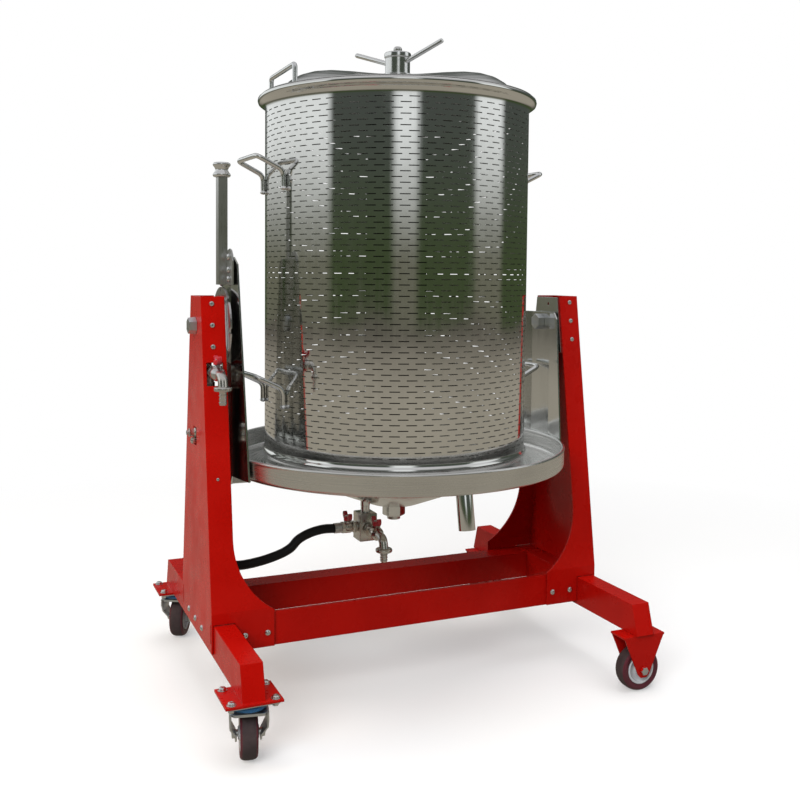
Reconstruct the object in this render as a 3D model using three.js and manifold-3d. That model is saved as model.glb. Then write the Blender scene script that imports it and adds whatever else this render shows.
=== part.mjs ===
// Tilting water-bladder basket press on a wheeled frame. Millimetres, +Z up, front towards -Y.
// Origin on the floor, midway between the uprights, under the tilting axis.
import * as THREE from "three";
import { mergeVertices } from "three/addons/utils/BufferGeometryUtils.js";
import Module from "manifold-3d";

const wasm = await Module();
wasm.setup();

// ---- driving dimensions ----
const GAP = 0.3; // air left between pieces that touch
const TILT_Z = 732; // height of the tilting axis

const POST_X = 424.8; // outer face of an upright's web
const SHEET = 4; // upright sheet thickness
const POST_EDGE_X = 379; // inner edge of an upright's flanges
const POST_TOP = 790;
const POST_BOTTOM = 125.5;
const POST_KNEE = 200; // the flanges slope inwards above this height
const POST_HALF_TOP = 46;
const POST_HALF_FOOT = 135;
const GUSSET_X = 303.5; // inner end of a gusset
const GUSSET_TOP = 330;
const GUSSET_END_Z = 194;

const LEG_X0 = 380.5;
const LEG_X1 = 420.5;
const LEG_Z0 = 118;
const LEG_Z1 = 178;
const LEG_HALF_TOP = 329;
const LEG_HALF_FOOT = 348;
const WELD = 0.3;
const RAIL_Z0 = 125.5;
const RAIL_Z1 = 190;

const WHEEL_R = 45;
const WHEEL_W = 32;
const HUB_R = 30;
const AXLE_R = 6;
const RUN = 0.15; // radial clearance of a running fit at the corners of its facets
const FIXED_X = 402;
const FIXED_Y = 320;
const SWIVEL_X = -400.5;
const SWIVEL_Y = 312;
const TRAIL = 16;
const SWIVEL_FRONT = 12; // degrees the front caster is turned at rest
const SWIVEL_REAR = 26;

const PIN_R = 10; // trunnion
const BRACKET_X0 = 375.3;
const BRACKET_X1 = 378.3;
const BRACKET_Z0 = 665;
const BRACKET_Z1 = 787;
const DISC_R = 76;
const DISC_X = [371, 375];
const NOTCHES = [0, 48, 96];

const ARM_IN = 360.6; // inner face of an arm's middle facet
const ARM_T = 3;
const ARM_BEND = 11.5; // degrees between facets
const TRAY_R = 358.5;
const TRAY_FLOOR = 436;
const TRAY_TOP = 480.4;
const DISH_Z = 345;

const BASKET_R = 275;
const BASKET_Z0 = 439.5;
const BASKET_Z1 = 1178;
const RIM_R = 290;
const RIM_Z = 1195;
const LID_Z = 1195.4;
const LID_R = 284;
const ROD_R = 9;
const ROD_TOP = 1311;

const VALVE_X = -66;
const VALVE_Z = 303;
const HOSE_R = 9.5;
const HOSE_X = -402;
const HOSE_Y = -5;

// ---- solids ----
function solid(geometry) {
  let g = geometry.clone();
  g.deleteAttribute("normal");
  g.deleteAttribute("uv");
  g = mergeVertices(g, 1e-3);
  const make = (tri) =>
    new wasm.Manifold(
      new wasm.Mesh({ numProp: 3, vertProperties: g.attributes.position.array, triVerts: tri }),
    );
  const tri = new Uint32Array(g.index.array);
  const first = make(tri);
  if (first.volume() > 0) return first;
  for (let i = 0; i < tri.length; i += 3) {
    [tri[i + 1], tri[i + 2]] = [tri[i + 2], tri[i + 1]];
  }
  return make(tri);
}

const join = (...list) => list.reduce((a, b) => a.add(b));
const cut = (body, ...tools) => tools.reduce((a, b) => a.subtract(b), body);

function box(x0, x1, y0, y1, z0, z1) {
  const g = new THREE.BoxGeometry(x1 - x0, y1 - y0, z1 - z0);
  g.translate((x0 + x1) / 2, (y0 + y1) / 2, (z0 + z1) / 2);
  return solid(g);
}

function shapeOf(points) {
  return new THREE.Shape(points.map(([a, b]) => new THREE.Vector2(a, b)));
}

const BASES = {
  x: [[0, 1, 0], [0, 0, 1], [1, 0, 0]],
  y: [[1, 0, 0], [0, 0, 1], [0, -1, 0]],
  z: [[1, 0, 0], [0, 1, 0], [0, 0, 1]],
};

// A polygon in the plane across `axis` (YZ, XZ or XY), pulled from a to b along that axis.
function prism(axis, points, a, b) {
  const g = new THREE.ExtrudeGeometry(shapeOf(points), { depth: b - a, bevelEnabled: false });
  const v = BASES[axis].map((c) => new THREE.Vector3(...c));
  g.applyMatrix4(new THREE.Matrix4().makeBasis(...v));
  const shift = axis === "y" ? b : a;
  g.translate(axis === "x" ? shift : 0, axis === "y" ? shift : 0, axis === "z" ? shift : 0);
  return solid(g);
}

// A round or many-sided bar between two points.
function bar(r, p, q, sides = 24, r2 = r) {
  const a = new THREE.Vector3(...p);
  const b = new THREE.Vector3(...q);
  const g = new THREE.CylinderGeometry(r2, r, a.distanceTo(b), sides);
  const turn = new THREE.Quaternion();
  turn.setFromUnitVectors(new THREE.Vector3(0, 1, 0), b.clone().sub(a).normalize());
  g.applyQuaternion(turn);
  g.translate(...a.add(b).multiplyScalar(0.5).toArray());
  return solid(g);
}

// A profile of (radius, height) turned about Z.
function lathe(profile, sides = 72) {
  const g = new THREE.LatheGeometry(profile.map(([r, z]) => new THREE.Vector2(r, z)), sides);
  g.rotateX(Math.PI / 2);
  return solid(g);
}

const closed = (profile) => [...profile, profile[0]];

// A round section swept along a smooth or cornered line.
function sweep(points, r, sides, steps, tension = 0.5) {
  const line = new THREE.CatmullRomCurve3(
    points.map((p) => new THREE.Vector3(...p)), false, "catmullrom", tension,
  );
  const ring = [];
  for (let i = 0; i < sides; i++) {
    const t = (2 * Math.PI * i) / sides;
    ring.push([r * Math.cos(t), r * Math.sin(t)]);
  }
  return solid(new THREE.ExtrudeGeometry(shapeOf(ring), { steps, extrudePath: line }));
}

function turned(body, degrees, x, y) {
  return body.rotate([0, 0, degrees]).translate([x, y, 0]);
}

const sideways = (body, s) => (s > 0 ? body : body.mirror([1, 0, 0]));

// ---- frame ----
// Half depth of an upright at height z, taken in by `inset`.
function halfDepth(z, inset = 0) {
  const t = Math.max(0, (z - POST_KNEE) / (POST_TOP - POST_KNEE));
  return POST_HALF_FOOT + t * (POST_HALF_TOP - POST_HALF_FOOT) - inset;
}

function postOutline(z0, z1, inset) {
  const heights = [z0, Math.max(z0, POST_KNEE), z1].filter((z, i, all) => all.indexOf(z) === i);
  const front = heights.map((z) => [-halfDepth(z, inset), z]);
  return [...front, ...front.map(([y, z]) => [-y, z]).reverse()];
}

// Two bent flanges: the outline less the same outline taken in by the sheet thickness.
function flanges(z0, z1, inset, thick, x0, x1) {
  const outer = prism("x", postOutline(z0, z1, inset), x0, x1);
  const inner = prism("x", postOutline(z0 - 20, z1 + 20, inset + thick), x0 - 5, x1 + 5);
  return outer.subtract(inner);
}

function gussetOutline() {
  const pts = [[POST_X, POST_BOTTOM], [POST_X, POST_TOP], [POST_EDGE_X, POST_TOP]];
  const r = 157;
  const last = Math.acos((r - (POST_EDGE_X - GUSSET_X)) / r);
  for (let i = 0; i <= 10; i++) {
    const a = (last * i) / 10;
    pts.push([POST_EDGE_X - r * (1 - Math.cos(a)), GUSSET_TOP - r * Math.sin(a)]);
  }
  pts.push([GUSSET_X, POST_BOTTOM]);
  return pts;
}

function upright(s) {
  const web = prism("x", postOutline(POST_BOTTOM, POST_TOP, 0), POST_X - SHEET, POST_X);
  const bent = flanges(POST_BOTTOM, POST_TOP, 0, SHEET, GUSSET_X - 1, POST_X);
  let body = join(web, bent.intersect(prism("y", gussetOutline(), -200, 200)));
  const legRoom = box(LEG_X0 - 1, POST_X - SHEET, -200, 200, LEG_Z0 - 20, LEG_Z1 + 1.5);
  body = cut(body, legRoom, bar(PIN_R + GAP, [400, 0, TILT_Z], [440, 0, TILT_Z]));
  for (const y of [-1, 1]) {
    body = cut(body, box(POST_X - 6, POST_X + 2, y * 128 - 2.5, y * 128 + 2.5, 143, 180));
  }
  if (s < 0) {
    body = cut(body, box(386, 418, -90, -50, 620, 664), box(416, 430, -6, 22, 496, 532));
  }
  return sideways(body, s);
}

function bearingBracket(s) {
  const inset = SHEET + GAP;
  const face = prism("x", postOutline(BRACKET_Z0, BRACKET_Z1, inset), BRACKET_X0, BRACKET_X1);
  const bent = flanges(BRACKET_Z0, BRACKET_Z1, inset, 3, BRACKET_X0, 412);
  const body = cut(
    join(face, bent),
    bar(PIN_R + GAP, [370, 0, TILT_Z], [385, 0, TILT_Z]),
    box(370, 385, -9, -3, 769, 775),
  );
  return sideways(body, s);
}

function trunnion(s) {
  const at = (x) => [x, 0, TILT_Z];
  const body = join(
    bar(PIN_R, at(ARM_IN - 6), at(POST_X + 6)),
    bar(17.3, at(ARM_IN - 16), at(ARM_IN - GAP), 6),
    bar(17.3, at(POST_X + GAP), at(POST_X + 15), 6, 15.5),
  );
  return sideways(body, s);
}

function indexDisc() {
  let body = bar(DISC_R, [-DISC_X[1], 0, TILT_Z], [-DISC_X[0], 0, TILT_Z], 56);
  body = body.subtract(bar(PIN_R + GAP, [-380, 0, TILT_Z], [-365, 0, TILT_Z]));
  for (const angle of NOTCHES) {
    const notch = box(-380, -365, -5, 5, DISC_R - 9, DISC_R + 5).rotate([angle, 0, 0]);
    body = body.subtract(notch.translate([0, 0, TILT_Z]));
  }
  return body;
}

// A leg tube along Y with sloping ends, drilled underneath, with the plates its wheels bolt to.
function leg(s) {
  const outline = (d) => [
    [-LEG_HALF_FOOT + d, LEG_Z0 + d], [LEG_HALF_FOOT - d, LEG_Z0 + d],
    [LEG_HALF_TOP - d, LEG_Z1 - d], [-LEG_HALF_TOP + d, LEG_Z1 - d],
  ];
  let body = prism("x", outline(0), LEG_X0, LEG_X1);
  body = body.subtract(prism("x", outline(3), LEG_X0 + 3, LEG_X1 - 3));
  body = body.subtract(bar(5, [400.5, 0, LEG_Z0 - 5], [400.5, 0, LEG_Z0 + 8], 12));
  if (s < 0) {
    for (const y of [-SWIVEL_Y, SWIVEL_Y]) {
      body = body.add(box(350.5, 450.5, y - 42, y + 42, LEG_Z0 - 4, LEG_Z0 + 0.2));
    }
  } else {
    for (const y of [-FIXED_Y, FIXED_Y]) {
      body = body.add(box(LEG_X0, LEG_X1, y - 24, y + 24, LEG_Z0 - WELD, LEG_Z0 + 0.2));
    }
  }
  return sideways(body, s);
}

const RAIL_HALF = LEG_X0 - GAP;

function frontRail() {
  const y = -POST_HALF_FOOT + SHEET + GAP;
  return prism("x", [
    [y, RAIL_Z0], [y + 42, RAIL_Z0], [y + 42, RAIL_Z0 + 4], [y + 4, RAIL_Z0 + 4],
    [y + 4, RAIL_Z1 - 4], [y + 9, RAIL_Z1 - 4], [y + 9, RAIL_Z1], [y, RAIL_Z1],
  ], -RAIL_HALF, RAIL_HALF);
}

function backRail() {
  const y = POST_HALF_FOOT - SHEET - GAP;
  const body = box(-RAIL_HALF, RAIL_HALF, y - 52, y, LEG_Z0, LEG_Z1 - 2);
  return cut(
    body,
    box(-RAIL_HALF + 3, RAIL_HALF - 3, y - 49, y - 3, LEG_Z0 + 3, LEG_Z1 - 5),
    bar(5, [0, y - 26, LEG_Z0 - 5], [0, y - 26, LEG_Z0 + 8], 12),
  );
}

// Fixed wheel bracket: a top plate and two side plates that narrow to the axle.
function wheelBracket(y) {
  const top = LEG_Z0 - WELD - GAP;
  const cheek = [
    [FIXED_X - 48.5, top], [FIXED_X - 13, 37], [FIXED_X - 7, 31], [FIXED_X + 7, 31],
    [FIXED_X + 13, 37], [FIXED_X + 48.5, top],
  ];
  let body = box(FIXED_X - 48.5, FIXED_X + 48.5, y - 23, y + 23, top - 4, top);
  for (const side of [-1, 1]) {
    const a = y + side * 21.5;
    body = body.add(prism("y", cheek, a - 1.5, a + 1.5));
  }
  return join(body, turned(axle(), 90, FIXED_X, y));
}

// Wheel pieces are made with the axle along X and its centre at (0, 0, WHEEL_R).
const upOnAxle = (body) => body.rotate([0, 90, 0]).translate([0, 0, WHEEL_R]);

function tyre() {
  const w = WHEEL_W / 2;
  return upOnAxle(lathe(closed([
    [HUB_R + GAP, -w + 2], [WHEEL_R - 7, -w], [WHEEL_R - 2, -w + 3], [WHEEL_R, -w + 8],
    [WHEEL_R, w - 8], [WHEEL_R - 2, w - 3], [WHEEL_R - 7, w], [HUB_R + GAP, w - 2],
  ]), 28));
}

function hub() {
  const w = WHEEL_W / 2;
  const bore = AXLE_R + RUN;
  return upOnAxle(lathe(closed([
    [bore, -w - 2], [11, -w - 2], [13, -w + 5], [25, -w + 5], [HUB_R, -w + 1],
    [HUB_R, w - 1], [25, w - 5], [13, w - 5], [11, w + 2], [bore, w + 2],
  ]), 20));
}

// The axle bolt is one piece with the cheeks it is tightened on.
function axle() {
  const reach = 22.8;
  return upOnAxle(lathe([
    [0, -reach - 5], [8, -reach - 5], [8, -reach], [AXLE_R, -reach], [AXLE_R, reach],
    [8, reach], [8, reach + 5], [0, reach + 5],
  ], 20));
}

// Caster pieces are made with the swivel on the Z axis and the wheel trailing towards +Y.
function casterPlate() {
  const top = LEG_Z0 - 4 - GAP;
  return join(box(-44, 44, -38, 38, top - 3, top), bar(23, [0, 0, 96.3], [0, 0, top - 2], 24));
}

// A pressed fork: a crown under the swivel, cheeks that flare from the axle up to the crown's sides.
function casterFork() {
  const side = [
    [-26, 95], [-26, 82], [TRAIL - 12, 38], [TRAIL - 6, 32], [TRAIL + 6, 32], [TRAIL + 13, 39], [30, 80],
    [26, 95],
  ];
  const crown = [
    [-33, -20], [-25, -29], [25, -29], [33, -20], [33, 20], [25, 29], [-25, 29], [-33, 20],
  ];
  let body = prism("z", crown, 91.5, 96);
  const flare = [
    [20, 30], [23, 30], [23, 44], [33, 64], [33, 95], [30, 95], [30, 65], [20, 45],
  ];
  const cheek = prism("y", flare, -60, 60).intersect(prism("x", side, -40, 40));
  body = body.add(cheek).add(sideways(cheek, -1));
  return join(body, axle().translate([0, TRAIL, 0]));
}

// ---- tilting bed ----
function armSection() {
  const b = THREE.MathUtils.degToRad(ARM_BEND);
  const edge = (d, y) => [(d - Math.abs(y) * Math.sin(b)) / Math.cos(b), y];
  const bend = (d) => (d - d * Math.cos(b)) / Math.sin(b);
  const line = (d) => [edge(d, -130), [d, -bend(d)], [d, bend(d)], edge(d, 130)];
  return [...line(ARM_IN), ...line(ARM_IN + ARM_T).reverse()];
}

function arm(s, top) {
  const half = (z) => 112 - ((z - 440) / (POST_TOP - 440)) * 42;
  const outline = [
    [-34, 421], [34, 421], [40, 438], [112, 438], [half(top - 14), top - 14], [half(top) - 14, top],
    [-half(top) + 14, top], [-half(top - 14), top - 14], [-112, 438], [-40, 438],
  ];
  const body = prism("z", armSection(), 400, 900).intersect(prism("x", outline, 300, 400));
  return sideways(cut(body, bar(PIN_R + RUN, [350, 0, TILT_Z], [370, 0, TILT_Z])), s);
}

function trayFoot(s) {
  const body = join(
    box(322, ARM_IN - GAP, -30, 30, 421, 424),
    box(322, 325, -30, 30, 421, TRAY_FLOOR - GAP),
  );
  return sideways(body, s);
}

const SPOUT = [[2, -321, 441], [3, -334, 367]];

function tray() {
  const t = 2.5;
  const top = TRAY_TOP;
  const pan = lathe(closed([
    [15, TRAY_FLOOR], [TRAY_R - 8, TRAY_FLOOR], [TRAY_R - 2, TRAY_FLOOR + 2], [TRAY_R, TRAY_FLOOR + 8],
    [TRAY_R, top - 7], [TRAY_R + 1.7, top - 4], [TRAY_R, top - 1], [TRAY_R - 2, top],
    [TRAY_R - 5, top - 1.5], [TRAY_R - 6, top - 4], [TRAY_R - t, top - 7],
    [TRAY_R - t, TRAY_FLOOR + 9], [TRAY_R - 9, TRAY_FLOOR + t], [15, TRAY_FLOOR + t],
  ]), 48);
  return cut(
    pan,
    bar(16.2, [1.88, -319.4, 450], SPOUT[1], 24),
    bar(10.4, [VALVE_X, 0, 430], [VALVE_X, 0, 445]),
  );
}

function trayDish() {
  const rim = [262, TRAY_FLOOR - GAP];
  return cut(
    lathe(closed([
      [14.6, DISH_Z], [45, DISH_Z], [150, 386], [255, 432], rim, [255, rim[1]], [150, 389],
      [45, DISH_Z + 2.5], [14.6, DISH_Z + 2.5],
    ]), 36),
    bar(10.4, [VALVE_X, 0, 330], [VALVE_X, 0, 400]),
  );
}

function juiceSpout() {
  const [a, b] = SPOUT;
  return bar(15.5, a, b, 24).subtract(bar(13.5, [2, -319, 452], [3, -336, 355], 24));
}

function centrePipe() {
  const body = lathe([
    [0, 312], [14, 312], [14, 471], [21, 471], [21, 1165], [ROD_R + 1, 1165], [ROD_R, 1170],
    [ROD_R, ROD_TOP - 4], [ROD_R - 3, ROD_TOP], [0, ROD_TOP],
  ], 18);
  let hollow = body.subtract(bar(17, [0, 0, 476], [0, 0, 1150], 18));
  for (const z of [640, 980]) {
    hollow = cut(hollow, bar(4, [-30, 0, z], [30, 0, z], 8), bar(4, [0, -30, z], [0, 30, z], 8));
  }
  return hollow;
}

function hubNut() {
  const body = turned(bar(24.3, [0, 0, 320], [0, 0, DISH_Z - GAP], 6), -20, 0, 0);
  return body.subtract(bar(14.3, [0, 0, 300], [0, 0, 360], 32));
}

function membrane() {
  const outer = [[31, 476.5], [50, 492], [60, 540], [64, 800], [60, 1070], [50, 1118], [31, 1133.7]];
  const inner = outer.map(([r, z]) => [r - 4, z]).reverse();
  return lathe(closed([...outer, ...inner]), 24);
}

const membraneBase = () => lathe(closed([
  [14.3, TRAY_FLOOR + 2.8], [88, TRAY_FLOOR + 2.8], [88, 446], [42, 452], [38, 475.8], [21.6, 475.8],
  [21.6, 470.6], [14.3, 470.6],
]), 32);

const membraneClamp = () => lathe(closed([[21.3, 1134], [38, 1134], [38, 1150], [21.3, 1150]]), 28);

const waterPipe = () => bar(10, [VALVE_X, 0, 332.3], [VALVE_X, 0, TRAY_FLOOR + 2.4], 24);

const valveBlock = () => box(VALVE_X - 19, VALVE_X + 19, -21, 21, VALVE_Z - 29, VALVE_Z + 29);

function inletValve() {
  const at = (x) => [VALVE_X + x, 0, VALVE_Z];
  return join(
    bar(11, at(-54), at(-19 - GAP), 20),
    bar(13, at(-30), at(-22), 6),
    bar(12.5, at(-54), at(-47), 6),
    bar(5, at(-40), [VALVE_X - 40, 0, VALVE_Z + 14], 12),
  );
}

const hoseFerrule = () => bar(10.8, [-136, 0, VALVE_Z], [VALVE_X - 54.3, 0, VALVE_Z], 20);

// A tap that points to the front: neck, ball body, stem, bent outlet and barbed tail.
function tap(x, y, z, reach, drop) {
  const at = (dy, dz) => [x, y - dy, z + dz];
  return join(
    bar(10, at(0, 0), at(reach * 0.4, 0), 14),
    bar(14, at(5, 0), at(14, 0), 6),
    bar(13.5, at(reach * 0.34, 0), at(reach * 0.68, 0), 14),
    bar(5.5, at(reach * 0.5, 0), at(reach * 0.5, 17), 10),
    bar(9.5, at(reach * 0.6, 0), at(reach, -15), 12),
    bar(9.5, at(reach - 2, -12), at(reach, -22), 12),
    bar(17, at(reach, -27), at(reach, -20), 6),
    bar(7, at(reach, -drop), at(reach, -18), 12),
  );
}

// A two-winged tap handle standing on its stem.
function wingHandle(x, y, z, along) {
  const wing = [[-19, 4], [-16, 0], [16, 0], [19, 4], [19, 15], [11, 17], [6, 10], [-6, 10], [-11, 17],
    [-19, 15]];
  const plate = prism(along, wing, -4.5, 4.5).translate([x, y, z]);
  return join(plate, bar(8, [x, y, z], [x, y, z + 9], 16));
}

function inletElbow() {
  return join(
    bar(11, [HOSE_X, -44, 645], [HOSE_X, 6, 645], 20),
    bar(12, [HOSE_X, HOSE_Y, 606.3], [HOSE_X, HOSE_Y, 648], 20),
  );
}

function bleedValve() {
  return join(
    bar(9, [-412, 8, 521], [-436, 8, 521], 16),
    bar(6, [-436, 8, 521], [-442, 8, 521], 16),
    bar(6.5, [-414, 8, 505], [-433, 8, 505], 16),
    box(-419, -412, 0, 16, 500, 528),
  );
}

function hose() {
  return sweep([
    [-136.3, 0, VALVE_Z], [-162, 0, 303.5], [-190, 0, 298], [-214, 0, 287], [-231, 0, 271],
    [-257, -1, 260], [-300, -3, 251], [-345, -5, 249], [-380, -5, 260], [-398, -5, 292],
    [HOSE_X, HOSE_Y, 345], [HOSE_X, HOSE_Y, 480], [HOSE_X, HOSE_Y, 606],
  ], HOSE_R, 10, 28);
}

// ---- lever and lock ----
const LEVER_X = -373;

function leverTube() {
  const x = LEVER_X;
  const body = box(x - 9, x + 9, -11, 11, 812, 1022);
  return cut(body, box(x - 7, x + 7, -9, 9, 800, 1019), bar(4.4, [x, 0, 1010], [x, 0, 1030]));
}

function leverBracket() {
  const pts = [[-60, 812], [-11.4, 812], [-11.4, 868]];
  for (let i = 0; i <= 6; i++) {
    const a = (Math.PI * i) / 6;
    pts.push([-35.7 + 24.3 * Math.cos(a), 858 + 24.3 * Math.sin(a)]);
  }
  return prism("x", pts, -367, -364);
}

function lockPin() {
  return lathe([
    [0, 809], [2.5, 809], [4, 812], [4, 1022.4], [16.5, 1022.4], [17.5, 1026], [16.5, 1030],
    [12.5, 1033], [12, 1037], [12.5, 1041], [16.5, 1044], [17.5, 1047], [15, 1050.5], [0, 1051],
  ], 20).translate([LEVER_X, 0, 0]);
}

// ---- basket and lid ----
function basketShell() {
  const r = BASKET_R;
  return lathe(closed([
    [r - 2, BASKET_Z0], [r, BASKET_Z0], [r, 462], [r + 4, 465], [r + 4, 474], [r, 478],
    [r, BASKET_Z1], [RIM_R - 1, RIM_Z - 5], [RIM_R, RIM_Z - 2], [RIM_R - 2, RIM_Z], [r + 4, RIM_Z],
    [r - 2, BASKET_Z1 + 4],
  ]), 56);
}

// A bent round-rod handle: two feet on the shell, legs going out and up, and a straight grip.
function basketHandle(angle, footZ) {
  const half = 61;
  const r = 5;
  const foot = (s) => [Math.sqrt((BASKET_R + r + GAP) ** 2 - half ** 2), s * half];
  const side = (s) => [
    [...foot(s), footZ], [...foot(s), footZ + 34], [foot(s)[0] + 5, s * half, footZ + 42],
    [foot(s)[0] + 48, s * half * 0.98, footZ + 60], [foot(s)[0] + 53, s * half * 0.9, footZ + 62],
  ];
  const line = [...side(-1), ...side(1).reverse()];
  return turned(sweep(line, r, 6, 26, 0.12), angle, 0, 0);
}

// Lid height above LID_Z: a cone with two lobes on opposite sides, level round the edge.
const LID_BASE = [[10.6, 54], [36, 54], [75, 43.5], [112, 34.5], [150, 25.5], [180, 18.5], [208, 12],
  [230, 6.5], [250, 2.5], [LID_R, 2.5]];
const LID_LOBE = [0, 0, 14, 25, 34, 37, 34, 25, 0, 0];
const LOBE_TURN = THREE.MathUtils.degToRad(-23);

function lid() {
  const sides = 40;
  const rings = LID_BASE.length;
  const spots = [];
  for (const drop of [0, 2.5]) {
    for (let i = 0; i < rings; i++) {
      for (let j = 0; j < sides; j++) {
        const a = (2 * Math.PI * j) / sides;
        const [r, h] = LID_BASE[i];
        const lift = h - drop + LID_LOBE[i] * Math.cos(a - LOBE_TURN) ** 2;
        spots.push(r * Math.cos(a), r * Math.sin(a), LID_Z + lift);
      }
    }
  }
  const faces = [];
  const quad = (a, b, c, d) => faces.push(a, b, c, a, c, d);
  const id = (layer, i, j) => (layer * rings + i) * sides + (j % sides);
  for (let j = 0; j < sides; j++) {
    for (let i = 0; i + 1 < rings; i++) {
      quad(id(0, i, j), id(0, i + 1, j), id(0, i + 1, j + 1), id(0, i, j + 1));
      quad(id(1, i, j), id(1, i, j + 1), id(1, i + 1, j + 1), id(1, i + 1, j));
    }
    const last = rings - 1;
    quad(id(0, last, j), id(1, last, j), id(1, last, j + 1), id(0, last, j + 1));
    quad(id(0, 0, j), id(0, 0, j + 1), id(1, 0, j + 1), id(1, 0, j));
  }
  const g = new THREE.BufferGeometry();
  g.setAttribute("position", new THREE.Float32BufferAttribute(spots, 3));
  g.setIndex(faces);
  return solid(g);
}

function lidHandle() {
  const x = -247;
  const foot = LID_Z + 2.5 + GAP;
  return sweep([
    [x, -72, foot], [x, -72, 1232], [x, -71, 1237], [x, -66, 1240], [x, 84, 1240], [x, 89, 1237],
    [x, 90, 1232], [x, 90, foot],
  ], 5, 6, 26, 0.1);
}

function starNut() {
  const base = LID_Z + 54 + GAP;
  let body = lathe(closed([
    [ROD_R + 0.4, base], [24, base], [26, base + 3], [26, 1287], [28, 1289], [28, 1296], [26, 1298],
    [ROD_R + 0.4, 1298],
  ]), 24);
  for (const s of [-1, 1]) {
    const dir = THREE.MathUtils.degToRad(-62.5);
    const at = (r, z) => [s * r * Math.cos(dir), s * r * Math.sin(dir), z];
    body = join(body, bar(5, at(23, 1278), at(117, 1309), 10));
  }
  return body;
}

// ---- the part ----
const paint = (color, roughness, metalness) =>
  new THREE.MeshStandardMaterial({ color, roughness, metalness });
const red = paint(0xb0140c, 0.3, 0);
const mirror = paint(0xcfd2d4, 0.12, 1);
const satin = paint(0xc2c3c2, 0.32, 1);
const zinc = paint(0xb6babc, 0.38, 1);
const nickel = paint(0xb9b4aa, 0.3, 1);
const blackRubber = paint(0x161616, 0.6, 0);
const tread = paint(0x433536, 0.75, 0);
const hubGrey = paint(0xc9c9c2, 0.5, 0);
const redPlastic = paint(0xa80f16, 0.4, 0);
const bladder = paint(0x23211f, 0.7, 0);

const group = new THREE.Group();
function put(name, body, material) {
  const m = body.getMesh();
  const g = new THREE.BufferGeometry();
  const v = new Float32Array(m.numVert * 3);
  for (let i = 0; i < m.numVert; i++) {
    v.set(m.vertProperties.subarray(i * m.numProp, i * m.numProp + 3), i * 3);
  }
  g.setAttribute("position", new THREE.BufferAttribute(v, 3));
  g.setIndex(new THREE.BufferAttribute(new Uint32Array(m.triVerts), 1));
  g.computeVertexNormals();
  const mesh = new THREE.Mesh(g, material.clone());
  mesh.name = name;
  group.add(mesh);
}

for (const [side, s] of [["left", -1], ["right", 1]]) {
  put("upright_" + side, upright(s), red);
  put("bearing_bracket_" + side, bearingBracket(s), satin);
  put("trunnion_" + side, trunnion(s), zinc);
  put("leg_" + side, leg(s), red);
  put("arm_" + side, arm(s, s < 0 ? 866 : 754), mirror);
  put("tray_foot_" + side, trayFoot(s), satin);
}
put("index_disc", indexDisc(), satin);
put("front_rail", frontRail(), red);
put("back_rail", backRail(), red);

for (const [end, y, angle] of [["front", -1, SWIVEL_FRONT], ["rear", 1, SWIVEL_REAR]]) {
  const fy = y * FIXED_Y;
  put("wheel_bracket_" + end, wheelBracket(fy), red);
  put("fixed_tyre_" + end, turned(tyre(), 90, FIXED_X, fy), tread);
  put("fixed_hub_" + end, turned(hub(), 90, FIXED_X, fy), hubGrey);
  const place = (body, shift) =>
    turned(body.translate([0, shift, 0]), -angle, SWIVEL_X, y * SWIVEL_Y);
  put("caster_plate_" + end, turned(casterPlate(), 0, SWIVEL_X, y * SWIVEL_Y), zinc);
  put("caster_fork_" + end, place(casterFork(), 0), zinc);
  put("caster_tyre_" + end, place(tyre(), TRAIL), tread);
  put("caster_hub_" + end, place(hub(), TRAIL), hubGrey);
}

put("tray", tray(), satin);
put("tray_dish", trayDish(), mirror);
put("juice_spout", juiceSpout(), mirror);
put("centre_pipe", centrePipe(), satin);
put("hub_nut", hubNut(), satin);
put("membrane", membrane(), bladder);
put("membrane_base", membraneBase(), satin);
put("membrane_clamp", membraneClamp(), satin);
put("water_pipe", waterPipe(), satin);
put("valve_block", valveBlock(), nickel);
put("inlet_valve", inletValve(), nickel);
put("inlet_valve_handle", wingHandle(VALVE_X - 40, 0, VALVE_Z + 14.3, "x"), redPlastic);
put("hose_ferrule", hoseFerrule(), zinc);
put("drain_tap", tap(VALVE_X, -21.3, VALVE_Z - 2, 83, 48), nickel);
put("drain_tap_handle", wingHandle(VALVE_X, -62.8, VALVE_Z + 15.3, "x"), redPlastic);
put("hose", hose(), blackRubber);
put("inlet_elbow", inletElbow(), nickel);
put("inlet_tap", tap(HOSE_X, -44.3, 645, 88, 54), nickel);
put("inlet_tap_handle", wingHandle(HOSE_X, -88.3, 662.3, "x"), redPlastic);
put("bleed_valve", bleedValve(), nickel);
put("lever_tube", leverTube(), satin);
put("lever_bracket", leverBracket(), satin);
put("lock_pin", lockPin(), satin);

put("basket_shell", basketShell(), mirror);
for (const [level, z] of [["upper", 998], ["lower", 573]]) {
  put("basket_handle_left_" + level, basketHandle(183, z), satin);
  put("basket_handle_right_" + level, basketHandle(3, z), satin);
}
put("lid", lid(), mirror);
put("lid_handle", lidHandle(), satin);
put("star_nut", starNut(), satin);

export default group;
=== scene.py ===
# Looks of a tilting basket press that squeezes fruit with a water-filled rubber bladder.
# Metres, +Z up, front towards -Y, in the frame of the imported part.
import math

import bmesh
import bpy
import numpy as np
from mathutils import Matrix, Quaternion, Vector


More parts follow.
